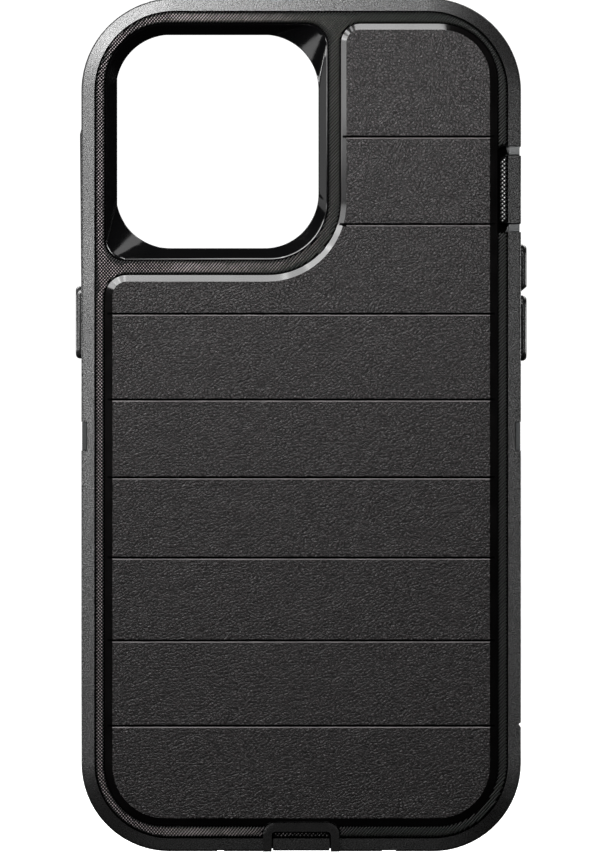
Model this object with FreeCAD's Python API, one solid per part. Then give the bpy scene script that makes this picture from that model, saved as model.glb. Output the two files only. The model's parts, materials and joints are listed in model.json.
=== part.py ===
import FreeCAD, Part
import math
import os

# Rugged layered case for a 6.7-inch phone, in millimetres.
# X runs across the case, +Y from its back towards the screen, and +Z up its length.
# The origin is at the middle of the bottom edge, on the surface that the case stands on.

V = FreeCAD.Vector

# Outside of the case
CASE_HALF_WIDTH = 43.85
CASE_LENGTH = 170.2
CASE_CORNERS = (17.6, 17.6, 18.6, 18.6)     # bottom left, bottom right, top right, top left
BACK_Y = -6.6               # knurled strip and groove
PANEL_Y = -7.25             # face of the raised grip panel
FRONT_Y = 7.25              # front of the rubber lip
BUTTON_OUT_X = 45.15        # outermost point of every button

# Phone pocket and hard shell
POCKET_HALF_WIDTH = 39.2
POCKET_BOTTOM = 4.55
POCKET_TOP = 165.65
POCKET_CORNER = 11.0
PHONE_BACK_Y = -1.95
PHONE_FRONT_Y = 5.8
LINER_THICKNESS = 0.5
SHELL_WALL = 1.6
FLOOR_THICKNESS = 1.8
FLOOR_IN_Y = PHONE_BACK_Y - LINER_THICKNESS
FLOOR_OUT_Y = FLOOR_IN_Y - FLOOR_THICKNESS
SPLIT_Y = 0.6               # parting line between the two shell halves
FRAME_LIP_Y = 6.5
FRAME_RIM_Y = 6.95
SCREEN_OPENING_INSET = 2.2  # how far the frame reaches over the edge of the phone
LIP_OPENING_INSET = 0.55    # the same for the rubber lip
FIT_GAP = 0.05

# Outer band of the slipcover
BAND_WIDTH = 2.6
BAND_DROP = 0.75
BAND_EDGE_FILLET = 0.55
FRONT_EDGE_FILLET = 1.3
SWELL_TOP_Z = CASE_LENGTH - 26.0
SWELL_FULL_Z = CASE_LENGTH - 27.2
SWELL_END_Z = CASE_LENGTH - 66.0
SWELL_DEPTH = 0.3           # how far the -X side stands out above the side button
SWELL_Y = (-4.9, 5.6)
GROOVE_WIDTH = 0.3
GROOVE_DEPTH = 0.35

# Grip panel
PANEL_BASE_Y = -5.9
PANEL_EDGE_X = 39.1
PANEL_FACE_X = 37.6
PANEL_GAP = 0.13
PANEL_GROOVES_FROM_TOP = (27.7, 45.15, 63.0, 80.1, 95.6, 111.6, 128.1, 145.1)
PANEL_GROOVE_WIDTH = 0.45
PANEL_GROOVE_DEPTH = 0.45
PANEL_GROOVE_BEVEL = 0.2

# Camera window
WINDOW_LEFT = -39.1
WINDOW_RIGHT = 5.35
WINDOW_BOTTOM = CASE_LENGTH - 52.3
WINDOW_TOP = CASE_LENGTH - 5.1
WINDOW_CORNERS = (4.0, 11.6, 4.4, 12.2)
LENS_LEFT = -37.0
LENS_RIGHT = 3.45
LENS_BOTTOM = CASE_LENGTH - 49.85
LENS_TOP = CASE_LENGTH - 7.2
LENS_CORNER = 10.9
BEZEL_TOP_Y = -6.35
BEZEL_RIM = 0.3
BEZEL_FOOT_Y = -3.1
BEZEL_FLANGE = 0.8
BEZEL_FLANGE_Y = -3.4

# Buttons
BUTTON_MID_Y = 1.9
BUTTON_HALF_THICKNESS = 2.1
BUTTON_END_ROUND = 1.9
BUTTON_EDGE_ROUND = 0.85
BUTTON_INNER_X = 42.3
BOSS_HALF_THICKNESS = 1.3
BOSS_TIP_X = 39.9
BOSS_END_INSET = 1.6
BOSS_CLEARANCE = 0.45
WEB_WIDTH = 0.8
WEB_INNER_X = 42.9
WEB_OUTER_X = 43.3
WEB_GAP = 0.02
SIDE_BUTTON_Z = (98.35, 112.9)
VOLUME_DOWN_Z = (97.9, 111.0)
VOLUME_UP_Z = (111.6, 121.2)
VOLUME_WEB_SPLIT_Z = 111.3
VOLUME_UP_BEVEL = 1.1

# Ringer switch flap, on the +X edge
RINGER_OPENING_Z = (123.5, 140.7)
RINGER_FLAP_Z = (125.3, 138.75)
RINGER_RECESS_X = 38.6
RINGER_FLAP_X = 39.65
RINGER_WALL_X = 41.2
RINGER_PAD_X = 40.3
RINGER_RETURN_Y = -4.95
RINGER_PAD_Y = (0.0, 3.1)
RINGER_PAD_INSET = 2.2
FLAP_END_Y = 3.4            # last rubber of a flap before its hinge web
HINGE_BAR_Y = 4.4           # first rubber beyond the hinge web
HINGE_WEB_DEPTH = 0.6

# Port flap and the arch round it, at the middle of the bottom edge
ARCH_OUTER_X = 7.6
ARCH_OUTER_Z = 5.75
ARCH_INNER_X = 5.9
ARCH_INNER_Z = 4.0
ARCH_Y = -7.1
PORT_FLAP_X = 5.65
PORT_FLAP_BOTTOM = 0.15
PORT_FLAP_TOP = 3.7
PORT_FLAP_WALL_Z = 2.5
PORT_RETURN_Y = -5.0
PLUG_HALF_WIDTH = 4.1
PLUG_Y = (0.7, 3.1)
PLUG_TOP = 4.3

# Lugs of the hard shell that fill windows in the rubber
SIDE_LUG_Z = (80.05, 85.55)
SIDE_LUG_DEPTH = 1.06
LUG_GAP = 0.12
FLAP_GAP = 0.22             # between the ringer flap and the lug at each of its ends
LUG_TOP_Y = -5.95
SIDE_LUG_OUT_X = 43.7
RINGER_LUG_OUT_X = 43.55
RINGER_LUG_IN_X = 41.45

# Snap tongues on the front frame: middle of each along its edge, and their size
TONGUE_LENGTH = 9.0
TONGUE_REACH = 2.0
TONGUE_THICKNESS = 0.8
LEFT_TONGUES_Z = (35.0, 62.0, 140.0)
RIGHT_TONGUES_Z = (35.0, 62.0, 149.0)
END_TONGUES_X = (-24.0, 24.0)

# Small openings and marks in the edges
SOUND_SLOTS = ((-19.5, -12.5), (13.5, 21.5))
SOUND_SLOT_HALF_HEIGHT = 1.1
SOUND_SCOOPS = ((-16.8, -15.4), (16.1, 18.9))
SCOOP_DEPTH = 0.2
EDGE_NOTCH_Z = CASE_LENGTH - 145.0
EDGE_NOTCH_RADIUS = 0.45

CASE_BOX = (-CASE_HALF_WIDTH, 0.0, CASE_HALF_WIDTH, CASE_LENGTH)
POCKET_BOX = (-POCKET_HALF_WIDTH, POCKET_BOTTOM, POCKET_HALF_WIDTH, POCKET_TOP)
WINDOW_BOX = (WINDOW_LEFT, WINDOW_BOTTOM, WINDOW_RIGHT, WINDOW_TOP)
LENS_BOX = (LENS_LEFT, LENS_BOTTOM, LENS_RIGHT, LENS_TOP)
SHELL_OUT_X = POCKET_HALF_WIDTH + SHELL_WALL
HINGE_Y = (FLAP_END_Y + HINGE_BAR_Y) / 2
FAR = 60.0                  # reaches past any edge of the case


def rectangle(box, radii, margin=0.0):
    """Corners (x, z, radius) of a box grown by margin, from bottom left, anticlockwise in x and z."""
    x0, z0, x1, z1 = box
    if not isinstance(radii, tuple):
        radii = (radii,) * 4
    places = (
        (x0 - margin, z0 - margin),
        (x1 + margin, z0 - margin),
        (x1 + margin, z1 + margin),
        (x0 - margin, z1 + margin),
    )
    return [(x, z, radius + margin) for (x, z), radius in zip(places, radii)]


def rounded_outline(corners, y):
    """Closed wire in the plane at y, with each corner rounded by a tangent arc."""
    count = len(corners)
    arcs = []
    for index, (x, z, radius) in enumerate(corners):
        last_x, last_z, _ = corners[index - 1]
        next_x, next_z, _ = corners[(index + 1) % count]
        corner = V(x, y, z)
        back = V(last_x - x, 0, last_z - z).normalize()
        ahead = V(next_x - x, 0, next_z - z).normalize()
        half_angle = back.getAngle(ahead) / 2
        reach = radius / math.tan(half_angle)
        bisector = (back + ahead).normalize()
        middle = corner + bisector * (radius / math.sin(half_angle) - radius)
        arcs.append((corner + back * reach, middle, corner + ahead * reach))
    edges = []
    for index, (start, middle, end) in enumerate(arcs):
        next_start = arcs[(index + 1) % count][0]
        edges.append(Part.Arc(start, middle, end).toShape())
        edges.append(Part.LineSegment(end, next_start).toShape())
    return Part.Wire(edges)


def slab(corners, y0, y1):
    """Rounded outline given thickness from y0 to y1."""
    return Part.Face(rounded_outline(corners, y0)).extrude(V(0, y1 - y0, 0))


def taper(corners_a, y_a, corners_b, y_b):
    """Solid between two rounded outlines with the same number of corners."""
    wires = [rounded_outline(corners_a, y_a), rounded_outline(corners_b, y_b)]
    return Part.makeLoft(wires, True, True)


def block(x_range, y_range, z_range):
    """Plain box between the given limits, in either order."""
    low = [min(limits) for limits in (x_range, y_range, z_range)]
    size = [abs(limits[1] - limits[0]) for limits in (x_range, y_range, z_range)]
    return Part.makeBox(size[0], size[1], size[2], V(low[0], low[1], low[2]))


def edges_along(shape, direction):
    """Straight edges of a shape that run along one unit direction."""
    found = []
    for edge in shape.Edges:
        if edge.Curve.TypeId == "Part::GeomLine" and abs(edge.Curve.Direction.dot(direction)) > 0.999:
            found.append(edge)
    return found


def bar_across(side, x_range, y_range, z_range, end_round):
    """Bar that points out of a side wall, side being -1 or +1, with rounded ends seen from outside."""
    shape = block([side * x for x in x_range], y_range, z_range)
    return shape.makeFillet(end_round, edges_along(shape, V(1, 0, 0)))


def shell_corners(margin=0.0):
    """Outline of the hard shell, grown by margin."""
    return rectangle(POCKET_BOX, POCKET_CORNER, SHELL_WALL + margin)


def panel_corners(inset, radii, growth=0.0):
    """Outline of the grip panel: a stepped shape that leaves the camera corner free."""
    edge_x = PANEL_EDGE_X - inset + growth
    bottom = 5.2 + inset - growth
    top = CASE_LENGTH - 5.2 - inset * 0.8 + growth
    step_x = 7.95 + inset * 0.7 - growth
    step_z = CASE_LENGTH - 55.3 - inset * 0.87 + growth
    places = (
        (-edge_x, bottom),
        (edge_x, bottom),
        (edge_x, top),
        (step_x, top),
        (step_x, step_z),
        (-edge_x, step_z),
    )
    return [(x, z, radius) for (x, z), radius in zip(places, radii)]


def panel_edge_corners(growth=0.0):
    radii = (12.0 + growth, 12.0 + growth, 11.8 + growth, 3.8 + growth, 14.5 - growth, 4.3 + growth)
    return panel_corners(0.0, radii, growth)


def panel_face_corners():
    return panel_corners(PANEL_EDGE_X - PANEL_FACE_X, (10.4, 10.4, 9.8, 2.6, 15.8, 2.8))


def arch_corners(half_width, top, radius, growth=0.0):
    """Outline of the arch, which runs down past the bottom edge."""
    box = (-half_width - growth, -4.0, half_width + growth, top + growth)
    return rectangle(box, (1.0, 1.0, radius + growth, radius + growth))


def button_parts(side, z_range):
    """Cap with a boss that passes through the shell to the phone's own button."""
    y_cap = (BUTTON_MID_Y - BUTTON_HALF_THICKNESS, BUTTON_MID_Y + BUTTON_HALF_THICKNESS)
    cap = bar_across(side, (BUTTON_INNER_X, BUTTON_OUT_X), y_cap, z_range, BUTTON_END_ROUND)
    rim = [edge for edge in cap.Edges if abs(edge.CenterOfMass.x - side * BUTTON_OUT_X) < 0.01]
    cap = cap.makeFillet(BUTTON_EDGE_ROUND, rim)
    return cap.fuse(button_boss(side, z_range, 0.0)).removeSplitter()


def button_boss(side, z_range, clearance):
    """Boss behind a cap, or with clearance the cut-out that it passes through."""
    y_range = (
        BUTTON_MID_Y - BOSS_HALF_THICKNESS - clearance,
        BUTTON_MID_Y + BOSS_HALF_THICKNESS + clearance,
    )
    z_limits = (z_range[0] + BOSS_END_INSET - clearance, z_range[1] - BOSS_END_INSET + clearance)
    x_range = (BOSS_TIP_X - clearance * 4, BUTTON_INNER_X + clearance * 4)
    return bar_across(side, x_range, y_range, z_limits, 1.0)


def button_slot(side, x_range, z_range, growth):
    """Stadium-shaped slot round a cap, grown past the cap's own outline."""
    y_range = (
        BUTTON_MID_Y - BUTTON_HALF_THICKNESS - growth,
        BUTTON_MID_Y + BUTTON_HALF_THICKNESS + growth,
    )
    z_limits = (z_range[0] - growth, z_range[1] + growth)
    return bar_across(side, x_range, y_range, z_limits, BUTTON_END_ROUND + growth)


def lug(side, z_range, inner_x, outer_x, y_range):
    """Block that stands out of the shell wall, with a lip that reaches back over the rubber."""
    base_start = max(y_range[0], FLOOR_OUT_Y)
    base = block((side * (SHELL_OUT_X - 0.8), side * outer_x), (base_start, y_range[1]), z_range)
    if y_range[0] >= FLOOR_OUT_Y:
        return base
    lip = block((side * inner_x, side * outer_x), (y_range[0], FLOOR_OUT_Y), z_range)
    return base.fuse(lip)


def shell_lugs(y_range):
    """Lugs of one shell half: one in each side, and one at each end of the ringer opening."""
    side_inner = CASE_HALF_WIDTH - SIDE_LUG_DEPTH
    lugs = [lug(side, SIDE_LUG_Z, side_inner, SIDE_LUG_OUT_X, y_range) for side in (-1, 1)]
    below = (RINGER_OPENING_Z[0] + LUG_GAP, RINGER_FLAP_Z[0] - FLAP_GAP)
    above = (RINGER_FLAP_Z[1] + FLAP_GAP, RINGER_OPENING_Z[1] - LUG_GAP)
    for limits in (below, above):
        lugs.append(lug(1, limits, RINGER_LUG_IN_X, RINGER_LUG_OUT_X, y_range))
    return lugs


def wall_openings():
    """Cut-outs through the shell walls for bosses, the switch, the port and the sound holes."""
    cuts = [button_boss(-1, SIDE_BUTTON_Z, BOSS_CLEARANCE)]
    cuts.append(button_boss(1, VOLUME_UP_Z, BOSS_CLEARANCE))
    cuts.append(button_boss(1, VOLUME_DOWN_Z, BOSS_CLEARANCE))
    switch_z = (RINGER_FLAP_Z[0] + 1.4, RINGER_FLAP_Z[1] - 1.4)
    cuts.append(block((SHELL_OUT_X - 3.0, SHELL_OUT_X + 1.0), (-1.3, 3.9), switch_z))
    port_x = PLUG_HALF_WIDTH + 0.6
    cuts.append(block((-port_x, port_x), (-1.4, 3.9), (1.0, POCKET_BOTTOM + 1.0)))
    cuts.extend(sound_slots())
    return cuts


def sound_slots():
    """Slots through the bottom for the loudspeaker and the microphone."""
    y_range = (BUTTON_MID_Y - SOUND_SLOT_HALF_HEIGHT, BUTTON_MID_Y + SOUND_SLOT_HALF_HEIGHT)
    slots = []
    for x_range in SOUND_SLOTS:
        slot = block(x_range, y_range, (-1.0, POCKET_BOTTOM + 1.0))
        slots.append(slot.makeFillet(SOUND_SLOT_HALF_HEIGHT * 0.9, edges_along(slot, V(0, 0, 1))))
    return slots


def tongues(growth):
    """Snap tongues along the outside of the shell walls, or their pockets when grown."""
    y_range = (SPLIT_Y - TONGUE_REACH - growth, SPLIT_Y + TONGUE_REACH)
    half = TONGUE_LENGTH / 2 + growth
    inner = SHELL_OUT_X - TONGUE_THICKNESS - growth
    outer = SHELL_OUT_X + growth * 4
    bars = []
    for side, places in ((-1, LEFT_TONGUES_Z), (1, RIGHT_TONGUES_Z)):
        for middle in places:
            bars.append(block((side * inner, side * outer), y_range, (middle - half, middle + half)))
    depth = SHELL_WALL - TONGUE_THICKNESS + growth
    bottom = (POCKET_BOTTOM - SHELL_WALL - growth * 4, POCKET_BOTTOM - depth + growth * 2)
    top = (POCKET_TOP + depth - growth * 2, POCKET_TOP + SHELL_WALL + growth * 4)
    for middle in END_TONGUES_X:
        bars.append(block((middle - half, middle + half), y_range, bottom))
        bars.append(block((middle - half, middle + half), y_range, top))
    return bars


def inner_back_shell():
    """Hard tray behind the phone, up to the parting line."""
    tray = slab(shell_corners(), FLOOR_OUT_Y, SPLIT_Y)
    tray = tray.cut(slab(rectangle(POCKET_BOX, POCKET_CORNER), FLOOR_IN_Y, SPLIT_Y + 1.0))
    tray = tray.fuse(shell_lugs((LUG_TOP_Y, SPLIT_Y)))
    tray = tray.cut(wall_openings() + tongues(FIT_GAP))
    through = slab(rectangle(WINDOW_BOX, WINDOW_CORNERS, FIT_GAP), FLOOR_OUT_Y - 1.0, FLOOR_IN_Y + 1.0)
    rebate_size = BEZEL_FLANGE + FIT_GAP
    rebate = slab(rectangle(WINDOW_BOX, WINDOW_CORNERS, rebate_size), FLOOR_OUT_Y - 1.0, BEZEL_FLANGE_Y)
    clear_wall = slab(rectangle(POCKET_BOX, POCKET_CORNER, -FIT_GAP), FLOOR_OUT_Y - 2.0, FLOOR_IN_Y + 2.0)
    return tray.cut(through.common(clear_wall)).cut(rebate).removeSplitter()


def inner_front_frame():
    """Hard frame that snaps to the tray and reaches over the edge of the phone."""
    frame = slab(shell_corners(), SPLIT_Y + FIT_GAP, FRAME_LIP_Y)
    rim_outline = rectangle(POCKET_BOX, POCKET_CORNER, -LIP_OPENING_INSET - FIT_GAP)
    frame = frame.fuse(slab(rim_outline, FRAME_LIP_Y, FRAME_RIM_Y))
    frame = frame.fuse(shell_lugs((SPLIT_Y + FIT_GAP, FLAP_END_Y))[2:])
    frame = frame.fuse(tongues(0.0))
    frame = frame.cut(slab(rectangle(POCKET_BOX, POCKET_CORNER), -3.0, PHONE_FRONT_Y))
    screen = rectangle(POCKET_BOX, POCKET_CORNER, -SCREEN_OPENING_INSET)
    frame = frame.cut(slab(screen, PHONE_FRONT_Y - 1.0, FRAME_RIM_Y + 1.0))
    return frame.cut(wall_openings()).removeSplitter()


def liner_pad():
    """Thin foam sheet bonded to the floor of the tray."""
    return slab(rectangle((-34.0, 12.0, 34.0, 112.0), 6.0), FLOOR_IN_Y, PHONE_BACK_Y)


def camera_bezel():
    """Sloping frame round the camera, held by a flange between the shell and the rubber."""
    wall_outline = rectangle(WINDOW_BOX, WINDOW_CORNERS, -FIT_GAP)
    wall = slab(wall_outline, BEZEL_TOP_Y, FLOOR_IN_Y)
    clear_wall = slab(rectangle(POCKET_BOX, POCKET_CORNER, -2 * FIT_GAP), FLOOR_OUT_Y - 3.0, FLOOR_IN_Y + 2.0)
    flange = slab(rectangle(WINDOW_BOX, WINDOW_CORNERS, BEZEL_FLANGE), FLOOR_OUT_Y, BEZEL_FLANGE_Y)
    ring = wall.common(clear_wall).fuse(flange)
    mouth = rectangle(WINDOW_BOX, WINDOW_CORNERS, -BEZEL_RIM)
    slope = taper(mouth, BEZEL_TOP_Y, rectangle(LENS_BOX, LENS_CORNER), BEZEL_FOOT_Y)
    through = slab(rectangle(LENS_BOX, LENS_CORNER), BEZEL_FOOT_Y - 0.5, FLOOR_IN_Y + 1.0)
    return ring.cut(slope).cut(through).removeSplitter()


def slipcover_blank():
    """Outer form of the rubber: straight sides, with a band that slopes up to the back."""
    shoulder_y = BACK_Y + BAND_DROP
    sides = slab(rectangle(CASE_BOX, CASE_CORNERS), shoulder_y, FRONT_Y)
    crown_edge = rectangle(CASE_BOX, CASE_CORNERS, -BAND_WIDTH)
    crown = taper(rectangle(CASE_BOX, CASE_CORNERS), shoulder_y, crown_edge, BACK_Y)
    blank = sides.fuse(crown).removeSplitter()
    shoulder = [edge for edge in blank.Edges if abs(edge.CenterOfMass.y - shoulder_y) < 0.01]
    blank = blank.makeFillet(BAND_EDGE_FILLET, shoulder)
    front = [edge for edge in blank.Edges if abs(edge.CenterOfMass.y - FRONT_Y) < 0.01]
    return blank.makeFillet(FRONT_EDGE_FILLET, front)


def band_groove():
    """Thin groove between the outer band and the knurled strip."""
    outer = slab(rectangle(CASE_BOX, CASE_CORNERS, -BAND_WIDTH), BACK_Y - 1.0, BACK_Y + GROOVE_DEPTH)
    inner_outline = rectangle(CASE_BOX, CASE_CORNERS, -BAND_WIDTH - GROOVE_WIDTH)
    return outer.cut(slab(inner_outline, BACK_Y - 2.0, BACK_Y + GROOVE_DEPTH + 1.0))


def ringer_opening():
    """Opening in the +X edge that the flap fills, with a finger recess at its inner side."""
    low, high = RINGER_OPENING_Z
    recess = rectangle((RINGER_RECESS_X, low, FAR, high), (1.0, 1.0, 1.0, 2.2))
    back = slab(recess, BACK_Y - 2.0, FLOOR_OUT_Y + 1.0)
    side = block((RINGER_RECESS_X, FAR), (FLOOR_OUT_Y, HINGE_BAR_Y), RINGER_OPENING_Z)
    return back.fuse(side)


def side_window(side):
    """Window in a side wall for the shell's lug, open to the back as a shallow notch."""
    z_range = (SIDE_LUG_Z[0] - LUG_GAP, SIDE_LUG_Z[1] + LUG_GAP)
    notch_x = CASE_HALF_WIDTH - SIDE_LUG_DEPTH - LUG_GAP
    notch = block((side * notch_x, side * FAR), (BACK_Y - 1.0, FLOOR_OUT_Y), z_range)
    end_y = SPLIT_Y + LUG_GAP
    hole = block((side * (SHELL_OUT_X - 0.5), side * FAR), (FLOOR_OUT_Y - LUG_GAP, end_y), z_range)
    return notch.fuse(hole)


def edge_marks():
    """Half-round notches in both sides and shallow scoops under the sound slots."""
    depth = FRONT_Y - BACK_Y + 2.0
    marks = []
    for side in (-1, 1):
        place = V(side * CASE_HALF_WIDTH, BACK_Y - 1.0, EDGE_NOTCH_Z)
        marks.append(Part.makeCylinder(EDGE_NOTCH_RADIUS, depth, place, V(0, 1, 0)))
    for x_range in SOUND_SCOOPS:
        marks.append(block(x_range, (BACK_Y - 1.0, FRONT_Y + 1.0), (-1.0, SCOOP_DEPTH)))
    return marks


def side_swell():
    """Shallow thickening of the -X wall: it starts with a small step and fades out downwards."""
    face_x = -CASE_HALF_WIDTH
    root_x = face_x + 0.5
    crest_x = face_x - SWELL_DEPTH
    corners = (
        V(root_x, SWELL_Y[0], SWELL_END_Z),
        V(face_x, SWELL_Y[0], SWELL_END_Z),
        V(crest_x, SWELL_Y[0], SWELL_FULL_Z),
        V(face_x, SWELL_Y[0], SWELL_TOP_Z),
        V(root_x, SWELL_Y[0], SWELL_TOP_Z),
    )
    face = Part.Face(Part.makePolygon(list(corners) + [corners[0]]))
    return face.extrude(V(0, SWELL_Y[1] - SWELL_Y[0], 0))


def slipcover():
    """Rubber cover that wraps the hard shell and hooks over its front frame."""
    cover = slipcover_blank().fuse(side_swell())
    cover = cover.cut(slab(shell_corners(FIT_GAP), FLOOR_OUT_Y - FIT_GAP, FRAME_LIP_Y + FIT_GAP))
    lip_opening = rectangle(POCKET_BOX, POCKET_CORNER, -LIP_OPENING_INSET)
    cover = cover.cut(slab(lip_opening, FRAME_LIP_Y - 1.0, FRONT_Y + 1.0))
    cover = cover.cut(band_groove())
    cover = cover.cut(slab(panel_edge_corners(PANEL_GAP), BACK_Y - 1.0, PANEL_BASE_Y))
    cover = cover.cut(slab(rectangle(WINDOW_BOX, WINDOW_CORNERS), BACK_Y - 1.0, FLOOR_OUT_Y + 1.0))
    slot_x = (SHELL_OUT_X - 0.5, FAR)
    volume_z = (VOLUME_DOWN_Z[0], VOLUME_UP_Z[1])
    cover = cover.cut(button_slot(-1, slot_x, SIDE_BUTTON_Z, WEB_WIDTH))
    cover = cover.cut(button_slot(1, slot_x, volume_z, WEB_WIDTH))
    cover = cover.cut(ringer_opening())
    cover = cover.cut([side_window(-1), side_window(1)])
    cover = cover.cut(edge_marks() + sound_slots())
    arch = slab(arch_corners(ARCH_OUTER_X, ARCH_OUTER_Z, 2.4), ARCH_Y, PANEL_BASE_Y + 0.3)
    arch = arch.common(block((-FAR, FAR), (-FAR, FAR), (0.0, FAR)))
    cover = cover.fuse(arch)
    port = slab(arch_corners(ARCH_INNER_X, ARCH_INNER_Z, 0.8), ARCH_Y - 1.0, HINGE_BAR_Y)
    return cover.cut(port).removeSplitter()


def panel_groove(from_top):
    """Groove across the panel whose lower edge is bevelled."""
    z = CASE_LENGTH - from_top
    half = PANEL_GROOVE_WIDTH / 2
    floor_y = PANEL_Y + PANEL_GROOVE_DEPTH
    over = 0.5
    profile = (
        V(-FAR, PANEL_Y - over, z + half),
        V(-FAR, floor_y, z + half),
        V(-FAR, floor_y, z - half),
        V(-FAR, PANEL_Y + PANEL_GROOVE_BEVEL, z - half),
        V(-FAR, PANEL_Y, z - half - PANEL_GROOVE_BEVEL),
        V(-FAR, PANEL_Y - over, z - half - PANEL_GROOVE_BEVEL),
    )
    face = Part.Face(Part.makePolygon(list(profile) + [profile[0]]))
    return face.extrude(V(2 * FAR, 0, 0))


def grip_panel():
    """Raised panel with bevelled edges and cross grooves, set into the slipcover's back."""
    panel = slab(panel_edge_corners(), PANEL_BASE_Y, BACK_Y)
    panel = panel.fuse(taper(panel_edge_corners(), BACK_Y, panel_face_corners(), PANEL_Y))
    panel = panel.cut([panel_groove(from_top) for from_top in PANEL_GROOVES_FROM_TOP])
    arch_clearance = arch_corners(ARCH_OUTER_X, ARCH_OUTER_Z, 2.4, PANEL_GAP)
    return panel.cut(slab(arch_clearance, PANEL_Y - 1.0, PANEL_BASE_Y + 1.0)).removeSplitter()


def volume_up_button():
    """Upper rocker cap, whose lower end is cut to a long bevel."""
    cap = button_parts(1, VOLUME_UP_Z)
    low = VOLUME_UP_Z[0]
    corners = (
        V(BUTTON_OUT_X - VOLUME_UP_BEVEL, -FAR, low - 1.0),
        V(BUTTON_OUT_X + 1.0, -FAR, low - 1.0),
        V(BUTTON_OUT_X + 1.0, -FAR, low + VOLUME_UP_BEVEL + 0.9),
        V(BUTTON_OUT_X - VOLUME_UP_BEVEL, -FAR, low + 0.2),
    )
    wedge = Part.Face(Part.makePolygon(list(corners) + [corners[0]])).extrude(V(0, 2 * FAR, 0))
    return cap.cut(wedge)


def button_web(side, cap_z, slot_z, keep_z=None):
    """Thin rubber ring that joins a cap to the wall round it."""
    web = button_slot(side, (WEB_INNER_X, WEB_OUTER_X), slot_z, WEB_WIDTH - WEB_GAP)
    web = web.cut(button_slot(side, (WEB_INNER_X - 1.0, WEB_OUTER_X + 1.0), cap_z, WEB_GAP))
    if keep_z:
        web = web.common(block((-FAR, FAR), (-FAR, FAR), keep_z))
    return web


def ringer_flap():
    """Flap over the ringer switch: a side wall, a return over the back edge and an inner pad."""
    low, high = RINGER_FLAP_Z
    outline = rectangle((RINGER_FLAP_X, low, CASE_HALF_WIDTH, high), (0.4, 0.2, 0.2, 1.2))
    flap = slab(outline, BACK_Y, RINGER_RETURN_Y)
    wall = block((RINGER_WALL_X, CASE_HALF_WIDTH), (RINGER_RETURN_Y, FLAP_END_Y), RINGER_FLAP_Z)
    flap = flap.fuse(wall)
    pad_z = (low + RINGER_PAD_INSET, high - RINGER_PAD_INSET)
    flap = flap.fuse(block((RINGER_PAD_X, RINGER_WALL_X), RINGER_PAD_Y, pad_z))
    sides = slipcover_blank()
    return flap.common(sides).cut(band_groove()).removeSplitter()


def ringer_flap_hinge():
    """Thin web along the front edge of the ringer flap."""
    x_range = (CASE_HALF_WIDTH - HINGE_WEB_DEPTH, CASE_HALF_WIDTH)
    y_range = (FLAP_END_Y + WEB_GAP, HINGE_BAR_Y - WEB_GAP)
    return block(x_range, y_range, RINGER_FLAP_Z)


def port_flap():
    """Flap over the charging port: a bottom wall, a return over the back edge and a plug."""
    box = (-PORT_FLAP_X, PORT_FLAP_BOTTOM, PORT_FLAP_X, PORT_FLAP_TOP)
    flap = slab(rectangle(box, (0.2, 0.2, 0.6, 0.6)), BACK_Y, PORT_RETURN_Y)
    wall_z = (PORT_FLAP_BOTTOM, PORT_FLAP_WALL_Z)
    x_range = (-PORT_FLAP_X, PORT_FLAP_X)
    flap = flap.fuse(block(x_range, (PORT_RETURN_Y, FLAP_END_Y), wall_z))
    plug = block((-PLUG_HALF_WIDTH, PLUG_HALF_WIDTH), PLUG_Y, (PORT_FLAP_WALL_Z, PLUG_TOP))
    plug = plug.makeFillet(1.0, edges_along(plug, V(0, 0, 1)))
    flap = flap.fuse(plug)
    return flap.common(slipcover_blank()).cut(band_groove()).removeSplitter()


def port_flap_hinge():
    """Thin web along the front edge of the port flap."""
    z_range = (PORT_FLAP_BOTTOM, PORT_FLAP_BOTTOM + HINGE_WEB_DEPTH)
    y_range = (FLAP_END_Y + WEB_GAP, HINGE_BAR_Y - WEB_GAP)
    return block((-PORT_FLAP_X, PORT_FLAP_X), y_range, z_range)


def all_parts():
    """Every piece of the case by the name of its node."""
    volume_slot_z = (VOLUME_DOWN_Z[0], VOLUME_UP_Z[1])
    upper_web_z = (VOLUME_WEB_SPLIT_Z + WEB_GAP, FAR * 3)
    lower_web_z = (0.0, VOLUME_WEB_SPLIT_Z - WEB_GAP)
    return {
        "inner_back_shell": inner_back_shell(),
        "inner_front_frame": inner_front_frame(),
        "liner_pad": liner_pad(),
        "camera_bezel": camera_bezel(),
        "slipcover": slipcover(),
        "grip_panel": grip_panel(),
        "side_button": button_parts(-1, SIDE_BUTTON_Z),
        "side_button_web": button_web(-1, SIDE_BUTTON_Z, SIDE_BUTTON_Z),
        "volume_up_button": volume_up_button(),
        "volume_up_web": button_web(1, VOLUME_UP_Z, volume_slot_z, upper_web_z),
        "volume_down_button": button_parts(1, VOLUME_DOWN_Z),
        "volume_down_web": button_web(1, VOLUME_DOWN_Z, volume_slot_z, lower_web_z),
        "ringer_flap": ringer_flap(),
        "ringer_flap_hinge": ringer_flap_hinge(),
        "port_flap": port_flap(),
        "port_flap_hinge": port_flap_hinge(),
    }


os.makedirs("parts", exist_ok=True)
for name, shape in all_parts().items():
    print(name, len(shape.Solids), shape.isValid(), round(shape.Volume, 2), shape.BoundBox)
    shape.exportStep("parts/" + name + ".step")
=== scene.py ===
import json
import math

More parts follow.
